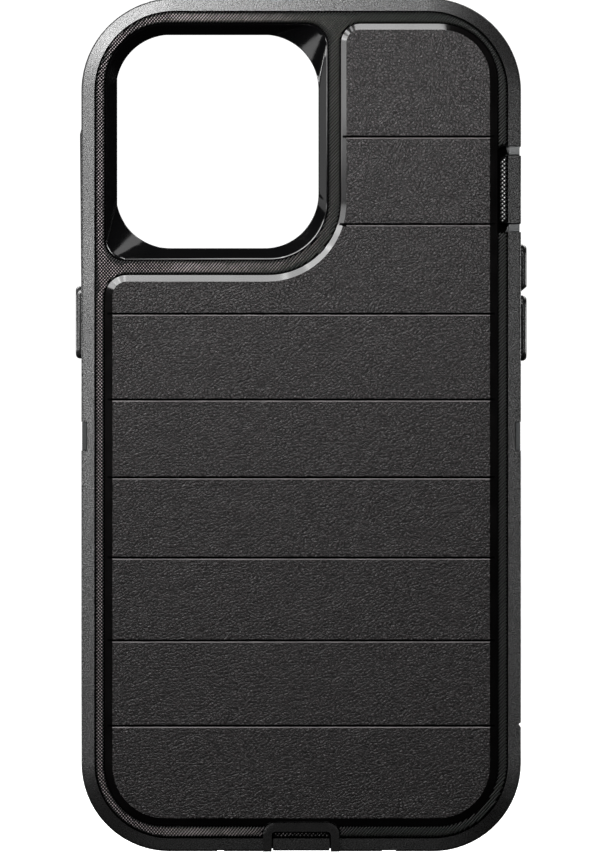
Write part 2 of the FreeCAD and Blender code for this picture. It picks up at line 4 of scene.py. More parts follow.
import bmesh
import bpy
import numpy as np
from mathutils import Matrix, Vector


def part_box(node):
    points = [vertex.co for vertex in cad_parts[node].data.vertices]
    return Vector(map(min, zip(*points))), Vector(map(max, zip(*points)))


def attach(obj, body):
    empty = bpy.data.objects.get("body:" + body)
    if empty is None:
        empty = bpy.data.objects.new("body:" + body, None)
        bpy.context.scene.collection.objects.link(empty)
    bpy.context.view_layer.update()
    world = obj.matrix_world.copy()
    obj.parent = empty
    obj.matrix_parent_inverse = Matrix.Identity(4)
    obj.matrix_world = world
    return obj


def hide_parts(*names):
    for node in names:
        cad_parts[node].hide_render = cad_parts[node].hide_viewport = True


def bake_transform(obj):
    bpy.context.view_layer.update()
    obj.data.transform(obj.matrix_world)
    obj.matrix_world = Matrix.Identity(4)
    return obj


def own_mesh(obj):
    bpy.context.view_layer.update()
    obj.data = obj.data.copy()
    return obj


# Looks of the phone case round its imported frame. Lengths are in metres, and MM turns millimetres into them.
# The back faces -Y, the screen side +Y, and Z runs up the length of the case.

MM = 0.001
ROOT_BODY = "case"

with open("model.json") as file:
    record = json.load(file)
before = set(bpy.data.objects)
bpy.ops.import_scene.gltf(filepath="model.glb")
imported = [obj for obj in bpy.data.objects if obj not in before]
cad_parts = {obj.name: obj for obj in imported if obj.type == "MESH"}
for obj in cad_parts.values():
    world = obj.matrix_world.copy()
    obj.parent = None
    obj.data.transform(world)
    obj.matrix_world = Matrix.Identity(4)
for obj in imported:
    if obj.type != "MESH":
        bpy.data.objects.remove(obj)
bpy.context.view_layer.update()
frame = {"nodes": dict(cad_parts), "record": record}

# Places read from the frame
CASE_SIDE, _, CASE_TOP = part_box("slipcover")[1]
panel_low, panel_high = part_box("grip_panel")
PANEL_FACE_Y = panel_low[1]
PANEL_RISE = 0.65 * MM
BACK_Y = PANEL_FACE_Y + PANEL_RISE

# Outlines seen from the back. Corner radii are in mm, anticlockwise from the bottom left corner.
CASE_CORNERS = (17.6, 17.6, 18.6, 18.6)
PANEL_CORNERS = (12.0, 12.0, 11.8, 3.8, 14.5, 4.3)
WINDOW_CORNERS = (4.0, 11.6, 4.4, 12.2)
BEZEL_FLANGE = 0.8 * MM
STRIP_INSET = 2.95 * MM
BAND_INSET = 2.56 * MM
STRIP_MARGIN = 0.16 * MM
PANEL_MARGIN = STRIP_MARGIN + 0.12 * MM

# Grip panel: its upper left part is stepped away round the camera window
PANEL_STEP_X = 7.95 * MM
PANEL_STEP_Z = CASE_TOP - 55.3 * MM
STEP_INSET = 1.05 * MM
FACE_INSET = 1.5 * MM

# Which faces take which finish, by the direction of their normal and by how far they lie from a plane
FACES_BACK = -0.99
UPRIGHT = 0.6
LIP_UPRIGHT = 0.8
SUNK_DEPTH = 0.02 * MM
PLANE_SLACK = 0.03 * MM
GAP_FLOOR_Y = -4.2 * MM
LUG_X = 41.2 * MM

# Knurl: parallel bars with beads along them. The profile runs across a bar, in shares of pitch and height.
# A bar starts at END_LIFT of its height and gains END_SLOPE of it over each whole length from its end.
BAR_PROFILE = ((-0.5, -0.15), (-0.24, 0.88), (0.0, 1.0), (0.24, 0.88), (0.5, -0.15))
BAR_SLOPE = math.radians(48)
BAR_PITCH = 0.46 * MM
FLAP_PITCH = 0.56 * MM
BAR_HEIGHT = 0.26 * MM
BAR_SHARE = 0.84
BAR_STEP = 0.2 * MM
FINE_STEP = 0.115 * MM
SHORTEST_BAR = 0.25 * MM
END_LIFT = 0.25
END_SLOPE = 4
NOTCH_DEPTH = 0.35
CROSSED_DEPTH = 1.0
CROSSED_X = (-33.0 * MM, -22.0 * MM)
CROSSED_FROM = 0.1

# Where the knurled strip stops: the recess of the ringer flap and the arch over the port flap
RECESS_LEFT = 38.4 * MM
RECESS_RIGHT = 60 * MM
RECESS_BELOW = 2.0 * MM
RECESS_ABOVE = 2.2 * MM
RECESS_CORNERS = (1 * MM, 1 * MM, 1 * MM, 2.3 * MM)
ARCH_SIDE = 7.75 * MM
ARCH_FOOT = -4 * MM
ARCH_TOP = 5.9 * MM
ARCH_CORNERS = (1 * MM, 1 * MM, 2.5 * MM, 2.5 * MM)

# Knurl on the flaps, measured in from the flap's box
RINGER_LEFT = 0.15 * MM
RINGER_RIGHT = 1.2 * MM
RINGER_END = 0.25 * MM
RINGER_CORNERS = (0.3 * MM, 0.3 * MM, 0.3 * MM, 0.9 * MM)
PORT_SIDE = 0.3 * MM
PORT_TOP = 0.1 * MM
PORT_CORNERS = (0.2 * MM, 0.2 * MM, 0.2 * MM, 0.2 * MM)

# Edges and shading of the moulded pieces
CASE_EDGE = 0.07 * MM
BEZEL_EDGE = 0.24 * MM
SHELL_EDGE = 0.12 * MM
WELD_DISTANCE = 0.002 * MM
SHARP_ANGLE = math.radians(25)
SHADE_ANGLE = math.radians(35)
PANEL_SHADE_ANGLE = math.radians(18)
CHAMFER_SHADE_ANGLE = math.radians(22)
LARGE_FACE_WEIGHT = 100

# Colours of the panel and the knurl. A bar's lighter crest tone, painted light along with wear, begins at
# CREST_FOOT of its height.
LEATHER_DARK = (0.020, 0.0169, 0.0172)
LEATHER_LIGHT = (0.024, 0.0202, 0.0206)
# The creases between the leather's pebbles are painted near black: painted shade.
LEATHER_CREASE_SHADE = (0.0015, 0.0013, 0.0013)
PEBBLE_WARP = 0.3 * MM
# Tones of the lip under each groove, painted lighter where it faces up: a painted highlight.
LIP_DARK = (0.05, 0.046, 0.0465)
LIP_LIGHT = (0.095, 0.088, 0.089)
# The knurls' near-black valleys are painted shade, and their lighter crests are painted light along with wear.
KNURL_VALLEY_SHADE = (0.0006, 0.0006, 0.0006)
KNURL_CREST = (0.33, 0.284, 0.292)
# The knurl's crests are painted lighter at the case's left side and darker towards its right: painted light
# and shade, as light falls from the left.
KNURL_RIGHT_LIGHT_SHARE = 0.12
KNURL_REACH = 40 * MM
FLAP_VALLEY_SHADE = (0.004, 0.004, 0.004)
FLAP_CREST = (0.38, 0.37, 0.37)
CREST_FOOT = 0.25

# Moats round the caps. Points nearer than SAME_POINT count as one. A moat's edge faces its neighbour where its
# normal leans towards it by more than LEAST_FACING, and LEAST_SHARE keeps a division away from 0.
CAP_END_ROUND = 1.9 * MM
MOAT_WIDTH = 0.8 * MM
MOAT_GAP = 0.015 * MM
MOAT_STEPS = 9
MOAT_CORNER_STEPS = 10
MOAT_FOOT = 43.2 * MM
MOAT_RISE = 0.38 * MM
MOAT_FULLNESS = 0.8
MOAT_INNER_SHARE = 0.8
MOAT_THICKNESS = 0.32 * MM
SAME_POINT = 0.001 * MM
LEAST_FACING = 0.02
LEAST_SHARE = 0.001

# Straps behind the flaps
STRAP_STEPS = 13
STRAP_DIP = 0.16 * MM
STRAP_OVERLAP = 0.02 * MM

# Camera: the frame is 600 by 853 and shows the whole width and nearly the whole length of the case
FRAME_PIXELS_HIGH = 853
PIXELS_PER_MM = 5.017
CAMERA_DISTANCE = 1.5
CAMERA_CLIP = 100
SENSOR = 36.0
AIM_X = -0.24 * MM
AIM_Z = 84.73 * MM

# Studio: the floor lies below the case, so that the port flap can swing down
FLOOR_DROP = 14 * MM
FLOOR_REACH = 40.0
NEAR_GLOW = 0.86
FAR_GLOW = 1.05
NEAR_REACH = 0.3
FAR_REACH = 1.2
SURROUND_LEVEL = 0.004
SURROUND_SEEN = 1.1


# ---------------------------------------------------------------- outlines

def rounded_outline(corners, steps=16):
    """Points of a closed outline through corners (x, z, radius), each rounded by a tangent arc."""
    points = []
    count = len(corners)
    for index, (x, z, radius) in enumerate(corners):
        last = np.array(corners[index - 1][:2])
        following = np.array(corners[(index + 1) % count][:2])
        corner = np.array((x, z))
        back = (last - corner) / np.linalg.norm(last - corner)
        ahead = (following - corner) / np.linalg.norm(following - corner)
        half_angle = math.acos(np.clip(back @ ahead, -1, 1)) / 2
        bisector = (back + ahead) / np.linalg.norm(back + ahead)
        centre = corner + bisector * radius / math.sin(half_angle)
        start = corner + back * radius / math.tan(half_angle) - centre
        end = corner + ahead * radius / math.tan(half_angle) - centre
        a0 = math.atan2(start[1], start[0])
        turn = math.atan2(end[1], end[0]) - a0
        turn = (turn + math.pi) % (2 * math.pi) - math.pi
        for step in range(steps + 1):
            angle = a0 + turn * step / steps
            points.append(centre + radius * np.array((math.cos(angle), math.sin(angle))))
    return np.array(points)


def box_corners(x0, z0, x1, z1, radii):
    """Corners of an upright box, from bottom left, anticlockwise."""
    places = ((x0, z0), (x1, z0), (x1, z1), (x0, z1))
    return [(x, z, radius) for (x, z), radius in zip(places, radii)]


def case_outline(inset):
    """Outline of the case, drawn in by inset."""
    radii = [radius * MM - inset for radius in CASE_CORNERS]
    side = CASE_SIDE - inset
    return rounded_outline(box_corners(-side, inset, side, CASE_TOP - inset, radii))


def window_outline(margin):
    """Outline of the camera window, grown by margin."""
    low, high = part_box("camera_bezel")
    grow = margin - BEZEL_FLANGE
    radii = [radius * MM + margin for radius in WINDOW_CORNERS]
    return rounded_outline(box_corners(low[0] - grow, low[2] - grow, high[0] + grow, high[2] + grow, radii))


def panel_outline(margin):
    """Outline of the grip panel's foot, grown by margin."""
    low, high = panel_low, panel_high
    step_x = PANEL_STEP_X - margin
    step_z = PANEL_STEP_Z + margin
    places = (
        (low[0] - margin, low[2] - margin),
        (high[0] + margin, low[2] - margin),
        (high[0] + margin, high[2] + margin),
        (step_x, high[2] + margin),
        (step_x, step_z),
        (low[0] - margin, step_z),
    )
    hollow_corner = -1
    signs = (1, 1, 1, 1, hollow_corner, 1)
    corners = []
    for (x, z), radius, sign in zip(places, PANEL_CORNERS, signs):
        corners.append((x, z, radius * MM + sign * margin))
    return rounded_outline(corners)


# ---------------------------------------------------------------- knurl

def spans_inside(outline, origin, along):
    """Stretches of the line origin + t * along that lie inside a closed outline."""
    normal = np.array((-along[1], along[0]))
    ahead = np.roll(outline, -1, axis=0)
    side_a = (outline - origin) @ normal
    side_b = (ahead - origin) @ normal
    crossing = (side_a > 0) != (side_b > 0)
    share = side_a[crossing] / (side_a[crossing] - side_b[crossing])
    places = outline[crossing] + share[:, None] * (ahead[crossing] - outline[crossing])
    marks = np.sort((places - origin) @ along)
    return list(zip(marks[0::2], marks[1::2]))


def spans_without(spans, holes):
    """Spans with every hole taken out of them."""
    for low, high in holes:
        kept = []
        for start, end in spans:
            if high <= start or low >= end:
                kept.append((start, end))
                continue
            if low > start:
                kept.append((start, low))
            if high < end:
                kept.append((high, end))
        spans = kept
    return spans


def crossed_share(x):
    """1 where the knurl is cut by a second set of grooves, 0 where its bars run plain."""
    start, end = CROSSED_X
    share = np.clip((end - x) / (end - start), 0, 1)
    return share * share * (3 - 2 * share)


def bar_points(start, end, origin, along, across, pitch, crossed):
    """Rings of points along one bar, which dips to its ends and at the second set of grooves."""
    middle_x = origin[0] + along[0] * (start + end) / 2
    step_size = FINE_STEP if crossed or crossed_share(middle_x) > CROSSED_FROM else BAR_STEP
    steps = max(3, round((end - start) / step_size))
    t = np.linspace(start, end, steps + 1)
    centres = origin + t[:, None] * along
    second = centres @ np.array((along[1], along[0])) / pitch
    share = 1 if crossed else crossed_share(centres[:, 0])
    depth = NOTCH_DEPTH + (CROSSED_DEPTH - NOTCH_DEPTH) * share
    notch = 1 - depth * (1 + np.cos(2 * math.pi * second)) / 2
    from_end = np.minimum(t - start, end - t) / (end - start)
    lift = BAR_HEIGHT * notch * np.minimum(1, END_SLOPE * from_end + END_LIFT)
    rings = []
    for shift, rise in BAR_PROFILE:
        ring = centres + across * shift * pitch * BAR_SHARE
        tall = lift * rise if rise > 0 else np.full(len(t), BAR_HEIGHT * rise)
        rings.append(np.column_stack((ring[:, 0], BACK_Y - tall, ring[:, 1])))
    return np.stack(rings, axis=1).reshape(-1, 3), steps


def knurl(name, body, outer, holes, pitch=BAR_PITCH, crossed=False):
    """Closed bars on the case's back, over the region inside outer and outside holes."""
    along = np.array((math.cos(BAR_SLOPE), math.sin(BAR_SLOPE)))
    across = np.array((-along[1], along[0]))
    offsets = outer @ across
    width = len(BAR_PROFILE)
    verts = []
    faces = []
    for index in range(math.ceil(offsets.min() / pitch), math.floor(offsets.max() / pitch) + 1):
        origin = across * index * pitch
        taken = [span for hole in holes for span in spans_inside(hole, origin, along)]
        for start, end in spans_without(spans_inside(outer, origin, along), taken):
            if end - start < SHORTEST_BAR:
                continue
            base = len(verts)
            points, steps = bar_points(start, end, origin, along, across, pitch, crossed)
            verts.extend(points.tolist())
            for a in range(base, base + steps * width, width):
                for lane in range(width):
                    b = a + (lane + 1) % width
                    faces.append((a + lane, a + lane + width, b + width, b))
            last = base + steps * width
            faces.append(tuple(range(base, base + width)))
            faces.append(tuple(range(last + width - 1, last - 1, -1)))
    piece = mesh_object(name, verts, faces)
    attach(piece, body)
    return piece


# ---------------------------------------------------------------- objects

def mesh_object(name, verts, faces, smooth=True):
    """New mesh object in the scene."""
    data = bpy.data.meshes.new(name)
    data.from_pydata([tuple(v) for v in verts], [], faces)
    data.validate()
    data.update()
    for polygon in data.polygons:
        polygon.use_smooth = smooth
    piece = bpy.data.objects.new(name, data)
    bpy.context.scene.collection.objects.link(piece)
    return piece


def paint(piece, material):
    """Gives every face of an object one material."""
    piece.data.materials.clear()
    piece.data.materials.append(material)


def body_of(node):
    """Name of the body that a CAD node rides on."""
    for body, members in frame["record"]["behaviour"]["bodies"].items():
        if node in members:
            return body
    raise KeyError(node)


def soft_copy(node, edge, segments):
    """Copy of a CAD node that stands for it. Its sharp edges are rounded, or chamfered if segments is 1."""
    source = frame["nodes"][node]
    piece = bpy.data.objects.new(node + "_moulded", source.data.copy())
    bpy.context.scene.collection.objects.link(piece)
    weld = piece.modifiers.new("weld", "WELD")
    weld.merge_threshold = WELD_DISTANCE
    if edge > 0:
        bevel = piece.modifiers.new("bevel", "BEVEL")
        bevel.width = edge
        bevel.segments = segments
        bevel.limit_method = "ANGLE"
        bevel.angle_limit = SHARP_ANGLE
        bevel.miter_outer = "MITER_ARC"
    graph = bpy.context.evaluated_depsgraph_get()
    rounded = bpy.data.meshes.new_from_object(piece.evaluated_get(graph), depsgraph=graph)
    piece.modifiers.clear()
    piece.data = rounded
    tidy_normals(rounded, SHADE_ANGLE if segments > 1 else CHAMFER_SHADE_ANGLE)
    weighted = piece.modifiers.new("weighted_normal", "WEIGHTED_NORMAL")
    weighted.mode = "FACE_AREA"
    weighted.weight = LARGE_FACE_WEIGHT
    weighted.keep_sharp = True
    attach(piece, body_of(node))
    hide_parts(node)
    return piece


def tidy_normals(data, angle):
    """Smooth shading that stops at sharp edges, in place of the normals that came with the mesh."""
    for layer in ("custom_normal", "sharp_face", "sharp_edge"):
        if layer in data.attributes:
            data.attributes.remove(data.attributes[layer])
    data.shade_smooth()
    data.set_sharp_from_angle(angle=angle)


# ---------------------------------------------------------------- materials

def new_material(name, color, roughness, specular=0.5):
    """Principled material. Its colour and roughness stand where no node is linked to them."""
    material = bpy.data.materials.new(name)
    material.use_nodes = True
    shader = material.node_tree.nodes["Principled BSDF"]
    shader.inputs["Base Color"].default_value = (*color, 1)
    shader.inputs["Roughness"].default_value = roughness
    shader.inputs["Specular IOR Level"].default_value = specular
    return material


def object_noise(material, size, detail=2.0, roughness=0.5):
    """Noise in the object's own coordinates, with features about as large as size."""
    nodes, links = material.node_tree.nodes, material.node_tree.links
    place = nodes.new("ShaderNodeTexCoord")
    noise = nodes.new("ShaderNodeTexNoise")
    noise.inputs["Scale"].default_value = 1 / size
    noise.inputs["Detail"].default_value = detail
    noise.inputs["Roughness"].default_value = roughness
    links.new(place.outputs["Object"], noise.inputs["Vector"])
    return noise


def object_cells(material, size):
    """Voronoi cells in the object's own coordinates, about as large as size."""
    nodes, links = material.node_tree.nodes, material.node_tree.links
    place = nodes.new("ShaderNodeTexCoord")
    cells = nodes.new("ShaderNodeTexVoronoi")
    cells.inputs["Scale"].default_value = 1 / size
    links.new(place.outputs["Object"], cells.inputs["Vector"])
    return cells


def ramp(material, source, low, high, from_low=0.3, from_high=0.7):
    """Maps a value to a range of values."""
    node = material.node_tree.nodes.new("ShaderNodeMapRange")
    node.inputs["From Min"].default_value = from_low
    node.inputs["From Max"].default_value = from_high
    node.inputs["To Min"].default_value = low
    node.inputs["To Max"].default_value = high
    material.node_tree.links.new(source, node.inputs["Value"])
    return node.outputs["Result"]


def color_between(material, source, color_a, color_b):
    """Colour that runs from color_a to color_b as source goes from 0.3 to 0.7."""
    node = material.node_tree.nodes.new("ShaderNodeValToRGB")
    node.color_ramp.elements[0].position = 0.3
    node.color_ramp.elements[1].position = 0.7
    node.color_ramp.elements[0].color = (*color_a, 1)
    node.color_ramp.elements[1].color = (*color_b, 1)
    material.node_tree.links.new(source, node.inputs["Fac"])
    return node.outputs["Color"]


def product(material, value_a, value_b):
    """Product of two values."""
    node = material.node_tree.nodes.new("ShaderNodeMath")
    node.operation = "MULTIPLY"
    material.node_tree.links.new(value_a, node.inputs[0])
    material.node_tree.links.new(value_b, node.inputs[1])
    return node.outputs["Value"]


def bump(material, heights, distance, strength):
    """Bumps the surface by a sum of (value, weight) heights."""
    nodes, links = material.node_tree.nodes, material.node_tree.links
    total = None
    for value, weight in heights:
        scaled = nodes.new("ShaderNodeMath")
        scaled.operation = "MULTIPLY"
        scaled.inputs[1].default_value = weight
        links.new(value, scaled.inputs[0])
        if total is None:
            total = scaled.outputs[0]
            continue
        added = nodes.new("ShaderNodeMath")
        added.operation = "ADD"
        links.new(total, added.inputs[0])
        links.new(scaled.outputs[0], added.inputs[1])
        total = added.outputs[0]
    node = nodes.new("ShaderNodeBump")
    node.inputs["Strength"].default_value = strength
    node.inputs["Distance"].default_value = distance
    links.new(total, node.inputs["Height"])
    links.new(node.outputs["Normal"], nodes["Principled BSDF"].inputs["Normal"])


def link_shader(material, output, socket):
    """Links a node's output to one socket of the material's shader."""
    shader = material.node_tree.nodes["Principled BSDF"]
    material.node_tree.links.new(output, shader.inputs[socket])


def slipcover_rubber():
    """Matte black rubber with a fine speckled moulding grain and slight cloudy wear."""
    material = new_material("slipcover_rubber", (0.007, 0.007, 0.007), roughness=0.3)
    grain = object_noise(material, size=0.22 * MM, roughness=0.6)
    cloud = object_noise(material, size=14 * MM)
    tone = color_between(material, cloud.outputs["Fac"], (0.006, 0.0059, 0.0059), (0.008, 0.0078, 0.0078))
    link_shader(material, tone, "Base Color")
    link_shader(material, ramp(material, grain.outputs["Fac"], low=0.2, high=0.33), "Roughness")
    bump(material, [(grain.outputs["Fac"], 1.0)], distance=0.052 * MM, strength=0.7)
    return material


def knurl_rubber(name, valley, crest, right_share):
    """Rubber of the knurled strips, with near-black valleys and lighter crests: painted shade in the valleys,
    and painted light on the crests along with wear.

    At the case's right side the crests keep only right_share of the tone that they have at its left side:
    painted light from the left, and painted shade towards the right.
    """
    material = new_material(name, crest, roughness=0.45, specular=0.25)
    nodes, links = material.node_tree.nodes, material.node_tree.links
    place = nodes.new("ShaderNodeTexCoord")
    axes = nodes.new("ShaderNodeSeparateXYZ")
    links.new(place.outputs["Object"], axes.inputs["Vector"])
    # Painted shade and light: the bars are near black at their foot and lighter towards their crests, mottled
    # by wear.
    foot, top = BACK_Y - CREST_FOOT * BAR_HEIGHT, BACK_Y - BAR_HEIGHT
    rise = ramp(material, axes.outputs["Y"], 0.0, 1.0, foot, top)
    wear = object_noise(material, size=1.2 * MM, detail=3.0)
    worn = product(material, rise, ramp(material, wear.outputs["Fac"], low=0.75, high=1.0))
    # Painted light and shade: the crests are lit at the case's left side and shaded towards its right.
    side = ramp(material, axes.outputs["X"], 1.0, right_share, -KNURL_REACH, KNURL_REACH)
    tone = color_between(material, product(material, worn, side), valley, crest)
    link_shader(material, tone, "Base Color")
    link_shader(material, ramp(material, wear.outputs["Fac"], low=0.34, high=0.42), "Roughness")
    return material


def gap_black():
    """Rubber deep in the grooves and gaps, nearly black because hardly any light gets there."""
    material = new_material("gap_black", (0.0006, 0.0006, 0.0006), roughness=0.8, specular=0.01)
    dust = object_noise(material, size=2 * MM, detail=3.0)
    tone = color_between(material, dust.outputs["Fac"], (0.0004, 0.0004, 0.0004), (0.001, 0.001, 0.001))
    link_shader(material, tone, "Base Color")
    return material


def panel_leather():
    """Warm charcoal rubber with a fine leather grain: small worn pebbles, with creases between them painted
    near black as painted shade.
    """
    material = new_material("panel_leather", (0.014, 0.012, 0.012), roughness=0.45, specular=0.25)
    nodes, links = material.node_tree.nodes, material.node_tree.links
    pebbles = object_cells(material, size=0.62 * MM)
    pebbles.feature = "DISTANCE_TO_EDGE"
    warp = object_noise(material, size=0.5 * MM, detail=1.0)
    shift = nodes.new("ShaderNodeVectorMath")
    shift.operation = "MULTIPLY_ADD"
    shift.inputs[1].default_value = (PEBBLE_WARP,) * 3
    links.new(warp.outputs["Color"], shift.inputs[0])
    links.new(pebbles.inputs["Vector"].links[0].from_socket, shift.inputs[2])
    links.new(shift.outputs["Vector"], pebbles.inputs["Vector"])
    grain = object_noise(material, size=0.42 * MM, detail=1.0, roughness=0.6)
    cloud = object_noise(material, size=9 * MM, detail=3.0)
    rise = ramp(material, pebbles.outputs["Distance"], 0.0, 1.0, 0.0, 0.2)
    tone = color_between(material, cloud.outputs["Fac"], LEATHER_DARK, LEATHER_LIGHT)
    worn = ramp(material, grain.outputs["Fac"], 0.12, 1.0, 0.4, 0.62)
    # The creases between the pebbles are painted near black: painted shade.
    mix = nodes.new("ShaderNodeMix")
    mix.data_type = "RGBA"
    color_a, color_b, color_out = mix.inputs[6], mix.inputs[7], mix.outputs[2]
    color_a.default_value = (*LEATHER_CREASE_SHADE, 1)
    links.new(product(material, rise, worn), mix.inputs["Factor"])
    links.new(tone, color_b)
    link_shader(material, color_out, "Base Color")
    link_shader(material, ramp(material, grain.outputs["Fac"], low=0.52, high=0.38), "Roughness")
    bump(material, [(rise, 0.5), (grain.outputs["Fac"], 1.0)], distance=0.14 * MM, strength=1.0)
    return material


def panel_edge():
    """Smooth, nearly polished black rubber of the panel's bevelled edges."""
    material = new_material("panel_edge", (0.002, 0.0019, 0.0019), roughness=0.1)
    sheen = object_noise(material, size=6 * MM)
    tone = color_between(material, sheen.outputs["Fac"], (0.0014, 0.0013, 0.0013), (0.0024, 0.0022, 0.0022))
    link_shader(material, tone, "Base Color")
    link_shader(material, ramp(material, sheen.outputs["Fac"], low=0.1, high=0.135), "Roughness")
    return material


def groove_lip_highlight():
    """Rubber painted lighter along the bevelled lip under each groove, which faces up: a painted highlight,
    mottled a little.
    """
    material = new_material("groove_lip_highlight", (0.09, 0.078, 0.08), roughness=0.45, specular=0.4)
    lip_mottle = object_noise(material, size=3 * MM, detail=3.0)
    link_shader(material, color_between(material, lip_mottle.outputs["Fac"], LIP_DARK, LIP_LIGHT), "Base Color")
    return material


def bezel_gloss():
    """Gloss-black plastic with faint fine scuffs."""
    material = new_material("bezel_gloss", (0.0015, 0.0015, 0.0016), roughness=0.1)
    scuffs = object_noise(material, size=1.5 * MM, detail=6.0, roughness=0.7)
    link_shader(material, ramp(material, scuffs.outputs["Fac"], low=0.08, high=0.13), "Roughness")
    return material


def shell_plastic(name, dark, light):
    """Satin dark-grey hard plastic with a spark-eroded grain."""
    material = new_material(name, dark, roughness=0.4)
    grain = object_noise(material, size=0.3 * MM)
    cloud = object_noise(material, size=20 * MM)
    link_shader(material, color_between(material, cloud.outputs["Fac"], dark, light), "Base Color")
    link_shader(material, ramp(material, grain.outputs["Fac"], low=0.35, high=0.45), "Roughness")
    bump(material, [(grain.outputs["Fac"], 1.0)], distance=0.02 * MM, strength=0.4)
    return material


def button_rubber():
    """Smooth black rubber of the caps, a little shinier than the cover."""
    material = new_material("button_rubber", (0.011, 0.011, 0.011), roughness=0.28)
    grain = object_noise(material, size=0.25 * MM)
    link_shader(material, ramp(material, grain.outputs["Fac"], low=0.24, high=0.32), "Roughness")
    bump(material, [(grain.outputs["Fac"], 1.0)], distance=0.02 * MM, strength=0.5)
    return material


def web_rubber():
    """Thin black rubber of the moats and the straps."""
    material = new_material("web_rubber", (0.008, 0.008, 0.008), roughness=0.5)
    grain = object_noise(material, size=0.3 * MM)
    link_shader(material, ramp(material, grain.outputs["Fac"], low=0.45, high=0.55), "Roughness")
    bump(material, [(grain.outputs["Fac"], 1.0)], distance=0.02 * MM, strength=0.5)
    return material


def liner_foam():
    """Dark grey foam sheet with small open cells."""
    material = new_material("liner_foam", (0.05, 0.05, 0.054), roughness=0.9, specular=0.2)
    cells = object_cells(material, size=0.6 * MM)
    fuzz = object_noise(material, size=0.9 * MM, detail=4.0)
    tone = color_between(material, fuzz.outputs["Fac"], (0.04, 0.04, 0.043), (0.07, 0.07, 0.075))
    link_shader(material, tone, "Base Color")
    heights = [(cells.outputs["Distance"], 1.0), (fuzz.outputs["Fac"], 0.6)]
    bump(material, heights, distance=0.2 * MM, strength=0.8)
    return material


def floor_material():
    """Pale matt floor that glows, less near the case, and far from it bright enough to merge with the white
    surround.
    """
    material = new_material("pale_floor", (0.7, 0.7, 0.7), roughness=0.9, specular=0.1)
    nodes, links = material.node_tree.nodes, material.node_tree.links
    shader = nodes["Principled BSDF"]
    shader.inputs["Emission Color"].default_value = (1, 1, 1, 1)
    place = nodes.new("ShaderNodeTexCoord")
    length = nodes.new("ShaderNodeVectorMath")
    length.operation = "LENGTH"
    links.new(place.outputs["Object"], length.inputs[0])
    glow = ramp(material, length.outputs["Value"], NEAR_GLOW, FAR_GLOW, NEAR_REACH, FAR_REACH)
    links.new(glow, shader.inputs["Emission Strength"])
    return material


# ---------------------------------------------------------------- stage

# name, azimuth and elevation in degrees seen from the aim, distance in m, width and height in m, watts, aim
LIGHTS = (
    ("left_top", -27, 22, 0.24, 0.05, 0.05, 0.244, (-0.035, 0, 0.16)),
    ("near_top", -12, 34, 0.27, 0.08, 0.05, 0.48, (-0.01, 0, 0.165)),
    ("near_left", -34, 20, 0.26, 0.04, 0.08, 0.237, (-0.04, 0, 0.15)),
    ("arc_a", -27, 49, 0.36, 0.1, 0.1, 0.262, (-0.01, 0, 0.13)),
    ("arc_b", -46, 38, 0.36, 0.1, 0.1, 0.375, (0.0, 0, 0.13)),
    ("arc_c", -57, 24, 0.36, 0.1, 0.1, 0.322, (0.01, 0, 0.13)),
    ("face_top", 0, 0, 0.15, 0.05, 0.03, 0.105, (0.03, 0, 0.168)),
    ("bevel_mid", -3, 56, 0.45, 0.18, 0.11, 0.62, (0.0, 0, 0.15)),
    ("top_left", -22, 28, 0.36, 0.09, 0.06, 0.314, (-0.02, 0, 0.165)),
    ("left_mid", -32, 4, 0.5, 0.05, 0.16, 0.749, (-0.04, 0, 0.11)),
    ("right_high", 33, -1, 0.45, 0.03, 0.1, 0.12, (0.043, 0, 0.125)),
    ("right_low", 33, -4, 0.45, 0.03, 0.12, 0.06, (0.043, 0, 0.045)),
    ("camera_side", -66, 10, 0.36, 0.08, 0.12, 0.153, (0.01, 0, 0.15)),
    ("corner_low", 43, 46, 0.15, 0.03, 0.03, 0.007, (-0.0335, -0.0036, 0.122)),
    ("corner_high", -60, -33, 0.08, 0.016, 0.016, 0.002, (0.0025, -0.0045, 0.161)),
    ("low_band", 0, -32, 0.6, 0.3, 0.06, 0.1, (0, 0, 0.01)),
)
SCREEN_SIDE_LIGHTS = (
    ("bezel_side", -122, 0, 0.2, 0.05, 0.05, 0.004, (0.004, 0, 0.143)),
    ("front_left", -150, 38, 1.0, 0.7, 0.36, 6.0, (0, 0, 0.085)),
    ("front_right", 150, 38, 1.0, 0.7, 0.36, 5.0, (0, 0, 0.085)),
    ("side_left", -100, -1, 0.8, 0.25, 0.14, 1.8, (0, 0, 0.085)),
    ("side_right", 100, -1, 0.8, 0.25, 0.14, 1.8, (0, 0, 0.085)),
)


def add_camera():
    """Camera that looks straight at the case's back from far enough away to show little perspective."""
    data = bpy.data.cameras.new("camera")
    data.sensor_width = SENSOR
    height = FRAME_PIXELS_HIGH / PIXELS_PER_MM * MM
    data.lens = SENSOR * CAMERA_DISTANCE / height
    data.clip_end = CAMERA_CLIP
    camera = bpy.data.objects.new("camera", data)
    camera.location = (AIM_X, BACK_Y - CAMERA_DISTANCE, AIM_Z)
    camera.rotation_euler = (math.radians(90), 0, 0)
    bpy.context.scene.collection.objects.link(camera)
    bpy.context.scene.camera = camera


def add_area(name, azimuth, elevation, distance, width, height, power, aim):
    """Softbox seen from aim at that azimuth (left is negative) and elevation from the camera's axis."""
    a, e = math.radians(azimuth), math.radians(elevation)
    away = Vector((math.sin(a) * math.cos(e), -math.cos(a) * math.cos(e), math.sin(e)))
    data = bpy.data.lights.new(name, "AREA")
    data.shape = "RECTANGLE"
    data.size = width
    data.size_y = height
    data.energy = power
    light = bpy.data.objects.new(name, data)
    light.location = Vector(aim) + away * distance
    light.rotation_mode = "QUATERNION"
    light.rotation_quaternion = away.to_track_quat("Z", "Y")
    light.visible_camera = False
    bpy.context.scene.collection.objects.link(light)


